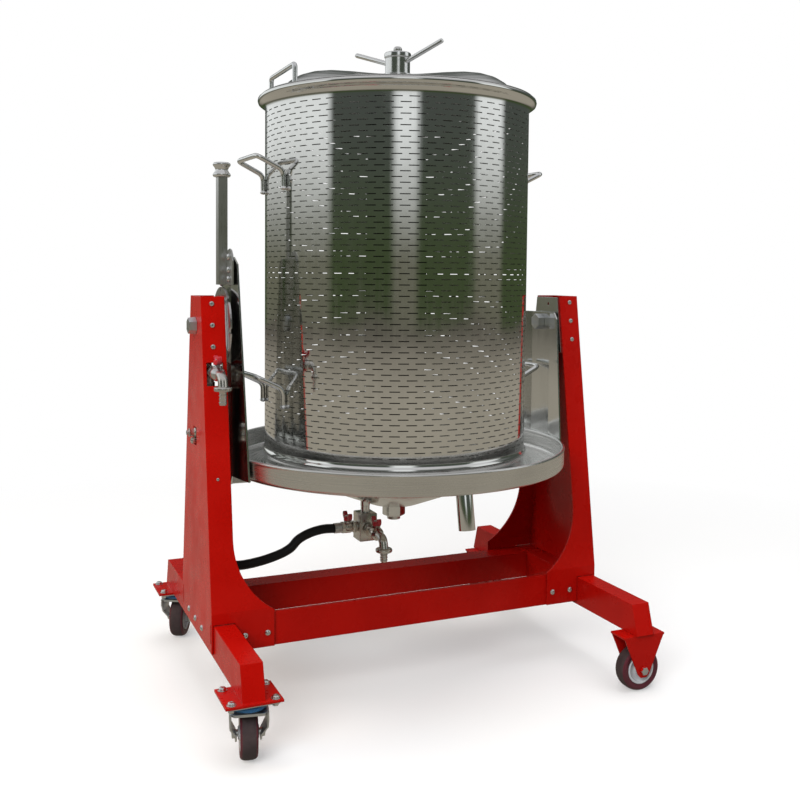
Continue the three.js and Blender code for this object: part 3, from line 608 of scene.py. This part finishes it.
def make_tray():
    """A pan profile turned about Z, with the spout's hole taken out of its floor."""
    outline = [(15, 436), (349.5, 436), (358.5, 441), (358.5, 473), (360.2, 476.4), (358.8, 479.6),
               (356, 480.4), (352.8, 479.2), (352.4, 476.2), (356, 472), (356, 444), (349.5, 438.5),
               (15, 438.5)]
    round_off = [0.5, 5, 6, 2, 1.5, 1.5, 1.5, 1.5, 1.5, 2, 6, 5, 0.5]
    pan = build("juice_tray", [turned(eased(outline, round_off), sides=192, ring=True)])
    drill(pan, turned([(13.6, 0), (13.6, 90)], (1.88, -319.4, 450), (1.12, -14.6, -83), 40))
    pan.data.materials.clear()
    pan.data.materials.append(tray_steel)
    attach(pan, "bed")
    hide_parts("tray")
    dish = [(14.6, 345), (45, 345), (150, 386), (255, 432), (262, 435.7), (255, 435.7), (150, 389),
            (45, 347.5), (14.6, 347.5)]
    cone = turned(eased(dish, [0.3, 14, 24, 3, 0.4, 2, 24, 14, 0.3], 7), sides=160, ring=True)
    piece("tray_cone", [cone], arm_steel, "bed", ["tray_dish"])
    spout = [(13.5, 0), (15.5, 0), (15.5, 75), (13.5, 75)]
    pipe = turned(eased(spout, 0.8), (2, -321, 441), (1, -13, -74), 56, True)
    piece("juice_pipe", [pipe], arm_steel, "bed", ["juice_spout"])


def make_core():
    """Turned pieces on the middle axis: water pipe, bladder, its seat and its clamp."""
    tube = [(4, 312), (14, 312), (14, 471), (21, 471), (21, 1165), (10, 1165), (9, 1170), (9, 1307),
            (6.5, 1311), (4, 1311)]
    line = np.arange(1216, 1304, 1.75)
    thread = np.stack([9.0 - 0.55 * (np.arange(len(line)) % 2), line], -1)
    body = np.concatenate([eased(tube[:6], 0.8, 4, closed=False), [(9, 1170), (9, 1214)], thread,
                           [(9, 1306), (7.5, 1309.5), (5.5, 1311)]])
    piece("centre_tube", [turned(body, sides=40)], bar_steel, "bed", ["centre_pipe"])
    outer = np.array([[31, 476.5], [47, 484], [57, 510], [62, 600], [64, 800], [62, 1010], [57, 1098],
                      [47, 1126], [31, 1133.7]])
    h = np.linspace(0, 1, 90)
    s = np.linspace(0, 1, len(outer))
    bag = np.stack([np.interp(h, s, outer[:, 0]) + 0.7 * np.cos(h * 60), np.interp(h, s, outer[:, 1])], -1)
    skin = np.concatenate([bag, (bag - [4, 0])[::-1]])
    piece("rubber_bladder", [turned(skin, sides=64, ring=True)], bladder_rubber, "bed",
          ["membrane"])
    seat = [(14.3, 438.8), (88, 438.8), (88, 446), (42, 452), (38, 475.8), (21.6, 475.8), (21.6, 470.6),
            (14.3, 470.6)]
    piece("bladder_seat", [turned(eased(seat, 1.2), sides=72, ring=True)], bar_steel, "bed",
          ["membrane_base"])
    clamp = [(21.3, 1134), (38, 1134), (38, 1150), (21.3, 1150)]
    piece("bladder_clamp", [turned(eased(clamp, 1.2), sides=56, ring=True)], bar_steel, "bed",
          ["membrane_clamp"])
    hexagon = [(14.3, 320), (22.5, 320), (24.3, 322), (24.3, 342.5), (22.8, 344.7), (14.3, 344.7)]
    piece("hub_hexagon", [turned(hexagon, sides=6, ring=True, start=math.radians(-20))], rod_steel, "bed",
          ["hub_nut"], 20.0)
    riser = [(8, 332.3), (10, 332.3), (10, 337), (9.6, 337.6), (9.6, 345), (10, 345.6), (10, 438.2),
             (8, 438.2)]
    piece("water_riser", [turned(riser, (-66, 0, 0), sides=40, ring=True)], rod_steel, "bed",
          ["water_pipe"])


# ---- taps ----
def cock(x, y, z, reach, drop):
    """Turned neck, ball body, gland and collar, a bent round outlet and a barbed tail."""
    def at(dy, dz):
        return (x, y - dy, z + dz)

    way = (0, -1, 0)
    neck = turned(eased([(3, 0), (10, 0), (10, 5), (9, 6), (9, reach * 0.33), (3, reach * 0.33)], 0.5),
                  at(0, 0), way, 32)
    nut = turned([(8, 5), (13.2, 5), (14, 6), (14, 13), (13.2, 14), (8, 14)], at(0, 0), way, 6)
    mid = reach * 0.5
    belly = [(4, -16), (11, -15), (11.5, -11), (13.6, -8), (14.4, 0), (13.6, 8), (10.5, 13), (9, 16),
             (4, 17)]
    ball = turned(eased(belly, 3.5), at(mid, 0), way, 40)
    bend = eased([at(mid + 10, 0), at(reach - 5, -2), at(reach, -22)], [1, 14, 1], 14, closed=False)
    outlet = carried(bend, np.linspace(9.2, 9.0, len(bend)), (1, 0, 0), 28)
    collar = turned(eased([(7, -28), (15.5, -28), (17, -26.5), (17, -21.5), (15, -20), (9.5, -19)], 1.0),
                    at(reach, 0), sides=14)
    ridge = np.linspace(-drop, -27, 33)
    tail = turned(np.stack([6.4 + 1.5 * ((np.arange(33) % 8) / 7.0), ridge], -1), at(reach, 0), sides=28)
    gland = turned([(4, 8), (8.6, 8), (9.2, 9), (9.2, 14), (8.4, 15), (4, 15)], at(mid, 0), sides=6)
    stem = turned(eased([(2, 4), (5.5, 4), (5.5, 16.6), (2, 16.6)], 0.4), at(mid, 0), sides=20)
    return [neck, nut, ball, outlet, collar, tail, gland, stem]


def wings(x, y, z):
    """A butterfly handle: two rounded ears on a low bar over a turned boss, with its screw."""
    ear = [(0, 7.5), (-5, 7.5), (-9, 12), (-12, 16.6), (-17, 17), (-19.2, 13), (-18.6, 7), (-15, 2.5),
           (-9, 0.4), (0, 0)]
    outline = ear[:-1] + [(0, 0)] + [(-a, b) for a, b in ear[::-1]][1:-1]
    plate = slab(eased(np.array(outline), 2.2, 4) + [y, z], x - 4.2, x + 4.2, "x", 1.1)
    boss = turned(eased([(3, 0), (8, 0), (8, 7.5), (6.6, 9), (3, 9)], 0.8), (x, y, z), sides=32)
    screw = turned(eased([(1, 8.6), (4.2, 8.6), (4.2, 10.6), (3, 11.6), (1, 11.6)], 0.6), (x, y, z),
                   sides=24)
    return [plate, boss], [screw]


def make_water_fittings():
    """Under the tray the cube with its taps and the hose crimp; on the upright the tap and its bleed."""
    cube = slab(eased(np.array([(-85, -21), (-47, -21), (-47, 21), (-85, 21)]), 1.6, 4), 274, 332, "z", 1.4)
    flat_plug = eased([(4, -22.4), (7.5, -22.4), (7.5, -20.5), (4, -20.5)], 0.4)
    plugs = many(turned(flat_plug, (-66, 0, 0), (0, 1, 0), 24), [(0, 42.6, 288)])
    piece("water_cube", [cube, plugs], nickel, "bed", ["valve_block"], 28.0)
    piece("drain_cock", cock(-66, -21.3, 301, 83, 48), nickel, "bed", ["drain_tap"], 28.0)
    piece("inlet_cock", cock(-402, -44.3, 645, 88, 54), nickel, "frame", ["inlet_tap"],
          28.0)
    way = (-1, 0, 0)
    valve = [turned(eased([(4, 19.3), (11, 19.3), (11, 22), (10, 23), (10, 31), (12.4, 34), (12.4, 45),
                           (10, 48), (10, 54), (4, 54)], 0.8), (-66, 0, 303), way, 36),
             turned([(9, 22), (12.4, 22), (13, 23), (13, 29), (12.4, 30), (9, 30)], (-66, 0, 303), way, 6),
             turned([(9, 47), (12, 47), (12.5, 48), (12.5, 53), (12, 54), (9, 54)], (-66, 0, 303), way, 6),
             turned([(4, 9), (8, 9), (8, 12.4), (5, 12.4), (5, 14), (4, 14)], (-106, 0, 303), sides=24)]
    piece("inlet_ball_valve", valve, nickel, "bed", ["inlet_valve"], 28.0)
    rib = np.linspace(120.3, 136, 34)
    crimp = np.stack([10.8 - 0.5 * (np.abs(((rib - 120.3) % 5.2) - 2.6) < 0.9), rib], -1)
    sleeve = turned(np.concatenate([[(8, 120.3)], crimp, [(9.6, 136)]]), (0, 0, 303), way, 40)
    piece("hose_crimp", [sleeve], zinc, "bed", ["hose_ferrule"])
    for name, spot, body, node in (
        ("inlet_cock_wings", (-402, -88.3, 662.3), "inlet_tap_handle", "inlet_tap_handle"),
        ("drain_cock_wings", (-66, -62.8, 317.3), "drain_tap_handle", "drain_tap_handle"),
        ("inlet_valve_wings", (-106, 0, 317.3), "inlet_valve_handle", "inlet_valve_handle"),
    ):
        plate, screw = wings(*spot)
        piece(name, plate, wing_coat, body, [node], 30.0)
        piece(name + "_screw", screw, screw_steel, body)
    elbow = [turned(eased([(3, -51), (11, -51), (11, -2), (8, 0), (3, 0)], 1.2), (-402, -44, 645),
                    (0, -1, 0), 32),
             turned(eased([(7, 606.3), (12, 606.3), (12, 646), (7, 650)], 1.2), (-402, -5, 0), sides=36),
             turned([(9, 608), (13.4, 608), (14, 609), (14, 620), (13.4, 621), (9, 621)], (-402, -5, 0),
                    sides=6),
             turned(eased([(9, 628), (13, 630), (13, 634), (9, 636)], 0.8), (-402, -5, 0), sides=36)]
    piece("inlet_elbow_fitting", elbow, nickel, "frame", ["inlet_elbow"], 28.0)
    out = (-1, 0, 0)
    bleed = [turned(eased([(3, 412), (9, 412), (9, 425), (7, 427), (7, 434), (8.6, 435), (8.6, 437),
                           (5, 437), (5, 441.6), (3, 441.6)], 0.7), (0, 8, 521), out, 28),
             turned(eased([(3, 414), (6.5, 414), (6.5, 430), (5.2, 433), (3, 433)], 0.7), (0, 8, 505), out,
                    24),
             slab(eased(np.array([(0.0, 500), (16, 500), (16, 528), (0, 528)]), 2.5, 4), -419, -412, "x",
                  0.8)]
    piece("bleed_cock", bleed, nickel, "frame", ["bleed_valve"], 28.0)


# ---- lever ----
def make_lever():
    """Turned pull knob and pin inside the square lever, and the domed bolts of its bracket."""
    knob = [(2, 809), (2.5, 809), (4, 812), (4, 1022.4), (15.5, 1022.4), (17.5, 1025), (17.3, 1028),
            (14, 1032), (12, 1036.5), (14, 1041), (17.3, 1045), (17.2, 1048.5), (14, 1050.8), (2, 1051)]
    piece("pull_knob_and_pin", [turned(eased(knob, 1.6, 5, closed=False), (-373, 0, 0), sides=56)],
          rod_steel, "lock_pin", ["lock_pin"])
    dome = turned(eased([(1, 0), (6.8, 0), (6.8, 2), (5.2, 4.4), (1, 5.2)], 1.2), (-367, -35.7, 0),
                  (-1, 0, 0), 28)
    piece("bracket_bolts", [many(dome, [(0, 0, 866), (0, 0, 841), (0, 0, 823)])], screw_steel, "bed")


# ---- wheels ----
WHEELS = [
    ("fixed_front", (402, -320, 45), (0, 1, 0), "fixed_wheel_front", "fixed_tyre_front", "fixed_hub_front"),
    ("fixed_rear", (402, 320, 45), (0, 1, 0), "fixed_wheel_rear", "fixed_tyre_rear", "fixed_hub_rear"),
    ("caster_front", (-397.17, -296.35, 45), (0.9781476, -0.2079117, 0), "caster_wheel_front",
     "caster_tyre_front", "caster_hub_front"),
    ("caster_rear", (-393.49, 326.38, 45), (0.898794, -0.4383711, 0), "caster_wheel_rear",
     "caster_tyre_rear", "caster_hub_rear"),
]


def make_wheels():
    """Tyre and hub profiles turned about the axle; the tyre's side bands take a second colour."""
    half = [(30.3, 13.6), (34.5, 14.2), (38.5, 15.6), (41.5, 14.4), (43.6, 11.4), (44.8, 7.0), (45.0, 2.4)]
    tyre = np.array(half + [(r, -h) for r, h in half[::-1]])
    hub_half = [(30, 14.8), (26.6, 15.2), (25.2, 13.4), (24.2, 9.8), (18, 8.4), (13.5, 9.6), (12.2, 14.6),
                (11, 18), (6.15, 18)]
    hub = np.array(hub_half + [(r, -h) for r, h in hub_half[::-1]])
    for name, centre, axle, body, tyre_node, hub_node in WHEELS:
        rubber = piece(f"tyre_{name}", [turned(eased(tyre, 1.6, 4), centre, axle, 96, True)], tread_rubber,
                       body, [tyre_node])
        rubber.data.materials.append(side_rubber)
        count = len(rubber.data.polygons)
        middles = np.zeros(count * 3)
        rubber.data.polygons.foreach_get("center", middles)
        away = np.abs((middles.reshape(-1, 3) / MM - centre) @ np.array(axle))
        rubber.data.polygons.foreach_set("material_index", (away > 12.2).astype(np.int32))
        piece(f"hub_{name}", [turned(eased(hub, 0.8, 4), centre, axle, 80, True)], hub_plastic, body,
              [hub_node])


# ---- screws and small steel ----
def button(at, along, r=5.2, high=3.0, sides=24):
    """A domed screw head with a shallow socket in its middle."""
    return turned([(r, -0.4), (r, 0.4), (r * 0.93, high * 0.5), (r * 0.72, high * 0.85), (r * 0.46, high),
                   (r * 0.4, high * 0.96), (r * 0.36, high * 0.35)], at, along, sides)


def make_screws():
    """Screws of the uprights and legs, the rivet, the swivel bolts and races, and the axle nuts."""
    lean = math.atan((135 - 46) / 590)
    for end, s in (("front", -1), ("rear", 1)):
        heads = []
        for z in (776, 735, 694):
            y = s * (135 - (z - 200) * (135 - 46) / 590)
            way = (0, s * math.cos(lean), math.sin(lean))
            heads.append(many(button((0, y, z), way), [(-404, 0, 0), (404, 0, 0)]))
        piece(f"flange_screws_{end}", heads, screw_steel, "frame")
        low = [button((x, s * 135, z), (0, s, 0), 6.0, 3.6) for x in (-361, -317, 317, 361) for z in (153,)]
        piece(f"gusset_screws_{end}", low, screw_steel, "frame")
    web = [button((s * 424.8, y, 149), (s, 0, 0), 6.0, 3.6) for s in (-1, 1) for y in (67, 6, -54)]
    piece("leg_screws", web, screw_steel, "frame")
    rivet_at = (-404, -135 + (446 - 200) * 89 / 590, 446)
    small = button(rivet_at, (0, -math.cos(lean), math.sin(lean)), 3.2, 2.0)
    piece("flange_rivet", [small], screw_steel, "frame")
    for end, y in (("front", -312), ("rear", 312)):
        spots = [(-400.5 + a, y + b, 0) for a in (-38, 38) for b in (-32, 32)]
        washer = turned(eased([(4, 118.2), (8.5, 118.2), (8.5, 119.6), (4, 119.6)], 0.3), sides=28)
        head = turned(eased([(1, 119.6), (6.6, 119.6), (6.6, 122.2), (5, 124.2), (1, 125)], 1.0), sides=24)
        nut = turned([(2, 106.4), (5.2, 106.4), (5.8, 107.2), (5.8, 110.2), (2, 110.2)], sides=6)
        piece(f"caster_bolts_{end}", [many(washer, spots), many(head, spots), many(nut, spots)],
              screw_steel, "frame")
        groove = [(23.2, 98.6), (30.5, 98.6), (31.5, 100.5), (31.5, 104.5), (30.5, 106), (23.2, 106)]
        race = turned(eased(groove, 0.8), (-400.5, y, 0), sides=64, ring=True)
        piece(f"swivel_race_{end}", [race], race_plastic, "frame")
    for name, centre, axle, *_ in WHEELS:
        body = name if name.startswith("caster") else "frame"
        nuts = []
        for s in (-1, 1):
            way = np.array(axle) * s
            nuts.append(turned([(6, 23.0), (8.0, 23.2), (8.6, 24), (8.6, 27.4), (7.8, 28.4), (4.6, 29.0)],
                               centre, way, 6))
        piece(f"axle_nuts_{name}", nuts, zinc, body, crease=20.0)


def dress_frame():
    """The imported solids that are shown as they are, each with its finish."""
    finishes = {
        red: ["upright_left", "upright_right", "leg_left", "leg_right", "front_rail", "back_rail",
              "wheel_bracket_front", "wheel_bracket_rear"],
        arm_steel: ["arm_left", "arm_right", "bearing_bracket_left", "bearing_bracket_right"],
        bar_steel: ["tray_foot_left", "tray_foot_right", "lever_tube", "lever_bracket"],
        disc_steel: ["index_disc"],
        zinc: ["trunnion_left", "trunnion_right", "caster_plate_front", "caster_plate_rear",
               "caster_fork_front", "caster_fork_rear"],
    }
    for finish, names in finishes.items():
        for name in names:
            mesh = nodes[name].data
            if not mesh.materials:
                mesh.materials.append(finish)
            for spot in nodes[name].material_slots:
                spot.material = finish


make_basket_wall()
make_basket_handles()
make_lid()
make_star_nut()
make_tray()
make_core()
make_water_fittings()
make_lever()
make_wheels()
make_screws()
dress_frame()


# ---- floor and light ----
# What the steel mirrors: a dark studio with three pale cards round the press. A card is the bearing of
# its middle and its width, in degrees from the viewer's side.
VIEW_BEARING = math.radians(-23.6)
CARDS = [(-105, 90), (8, 14), (86, 26)]
CARD_FADE = 6.0
LOW_DARK, LOW_PALE = (0.05, 0.07, 0.03), (0.14, 0.14, 0.10)
HIGH_DARK, HIGH_PALE = (0.07, 0.08, 0.07), (0.90, 0.93, 0.93)
OVERHEAD = (0.62, 0.62, 0.63, 1)
MIRRORED_GROUND = (0.36, 0.33, 0.27)


def make_floor():
    """A wide flat pale floor that fades to white far off, and that steel mirrors as dull ground."""
    size = 14.0
    below = -0.0004
    corners = np.array([(x, y, below) for x, y in ((-size, -size), (size, -size), (size, size),
                                                   (-size, size))])
    floor = build("floor", [(corners, [np.array([[0, 1, 2, 3]])])], outward=False)
    f = Finish("pale_floor", Roughness=0.75, Specular_IOR_Level=0.1)
    pale = f.ramp(f.noise(1.5, 2.0), [(0.3, rgb(0.88, 0.88, 0.88)), (0.7, rgb(0.92, 0.92, 0.92))])
    far = f.node("VectorMath", {"operation": "LENGTH"}, i0=f.place).outputs["Value"]
    ray = f.node("LightPath")
    f.feed(f.shader.inputs["Base Color"], f.blend(ray.outputs["Is Camera Ray"], rgb(0.30, 0.29, 0.27),
                                                  pale))
    white = f.node("Emission", Color=rgb(1.0, 1.0, 1.0), Strength=1.0).outputs[0]
    fade = f.sum(f.span(far, 0.35, 1.0, 0.5, 2.2), ray.outputs["Is Camera Ray"], "MULTIPLY")
    seen = f.node("MixShader", Fac=fade, i1=f.shader.outputs[0], i2=white).outputs[0]
    dim = f.span(far, 1.0, 0.3, 5.0, 12.0)
    mirrored = f.node("Emission", Color=rgb(*MIRRORED_GROUND), Strength=dim).outputs[0]
    mixed = f.node("MixShader", Fac=ray.outputs["Is Glossy Ray"], i1=seen, i2=mirrored).outputs[0]
    f.tree.links.new(mixed, f.tree.nodes["Material Output"].inputs["Surface"])
    floor.data.materials.append(f.material)


def make_lamps():
    """Five broad lamps, the one at the side warm. Steel doesn't mirror their shapes."""
    for name, place, aim, width, height, power in (
        ("key_lamp", (-3.0, -3.0, 3.0), (0, 0, 0.7), 2.6, 2.6, 190.0),
        ("fill_lamp", (3.2, -3.2, 1.8), (0, 0, 0.6), 2.4, 2.2, 30.0),
        ("top_lamp", (0.2, -0.2, 4.4), (0, 0, 0.6), 3.6, 3.6, 150.0),
        ("back_lamp", (-0.5, 4.2, 2.4), (0, 0, 0.7), 3.0, 2.0, 18.0),
        ("side_lamp", (-4.0, 0.8, 1.4), (-0.4, 0, 0.5), 1.6, 1.6, 46.0),
    ):
        lamp = bpy.data.lights.new(name, "AREA")
        if name == "side_lamp":
            lamp.color = (1.0, 0.62, 0.26)
        lamp.shape, lamp.size, lamp.size_y, lamp.energy = "RECTANGLE", width, height, power
        holder = bpy.data.objects.new(name, lamp)
        bpy.context.scene.collection.objects.link(holder)
        holder.location = place
        holder.rotation_mode = "QUATERNION"
        holder.rotation_quaternion = (Vector(aim) - Vector(place)).to_track_quat("-Z", "Y")
        holder.visible_glossy = False


def make_room():
    """World light: the cards are dim near the horizon and bright above it, with soft grey overhead.
    It shows as white where nothing is in front of it."""
    world = bpy.data.worlds.new("studio_room")
    bpy.context.scene.world = world
    world.use_nodes = True
    tree = world.node_tree
    tree.nodes.clear()

    def add(kind, settings=(), **inputs):
        made = tree.nodes.new("ShaderNode" + kind)
        for key, value in dict(settings).items():
            setattr(made, key, value)
        for key, value in inputs.items():
            socket = made.inputs[socket_key(key)]
            if isinstance(value, bpy.types.NodeSocket):
                tree.links.new(value, socket)
            else:
                socket.default_value = value
        return made

    def ring(share, dark, pale):
        stops = []
        for middle, width in CARDS:
            a, b = middle - width / 2, middle + width / 2
            stops += [(a - CARD_FADE, dark), (a, pale), (b, pale), (b + CARD_FADE, dark)]
        made = add("ValToRGB", Fac=share)
        band = made.color_ramp
        band.elements[0].color = band.elements[-1].color = (*dark, 1)
        for bearing, tint in stops:
            band.elements.new((bearing + 180) / 360).color = (*tint, 1)
        return made.outputs["Color"]

    where = add("TexCoord").outputs["Generated"]
    turn = add("Mapping", {"vector_type": "TEXTURE"}, Vector=where, Rotation=(0, 0, VIEW_BEARING))
    x, y, z = add("SeparateXYZ", i0=turn.outputs[0]).outputs
    down = add("Math", {"operation": "MULTIPLY"}, i0=y, i1=-1.0).outputs[0]
    bearing = add("Math", {"operation": "ARCTAN2"}, i0=x, i1=down).outputs[0]
    share = add("MapRange", Value=bearing, From_Min=-math.pi, From_Max=math.pi).outputs[0]
    low = ring(share, LOW_DARK, LOW_PALE)
    high = ring(share, HIGH_DARK, HIGH_PALE)
    lift = add("MapRange", {"interpolation_type": "SMOOTHSTEP"}, Value=z, From_Min=0.0,
               From_Max=0.17).outputs[0]
    rows = add("MixRGB", Fac=lift, Color1=low, Color2=high).outputs[0]
    over = add("MapRange", {"interpolation_type": "SMOOTHSTEP"}, Value=z, From_Min=0.3,
               From_Max=0.75).outputs[0]
    sky = add("MixRGB", Fac=over, Color1=rows, Color2=OVERHEAD).outputs[0]
    soft = add("LightPath").outputs["Is Diffuse Ray"]
    power = add("MapRange", Value=soft, To_Min=1.0, To_Max=0.34).outputs[0]
    room = add("Background", Color=sky, Strength=power).outputs[0]
    white = add("Background", Color=(1, 1, 1, 1), Strength=1.0).outputs[0]
    seen = add("LightPath").outputs["Is Camera Ray"]
    mix = add("MixShader", Fac=seen, i1=room, i2=white).outputs[0]
    add("OutputWorld", Surface=mix)


make_floor()
make_lamps()
make_room()
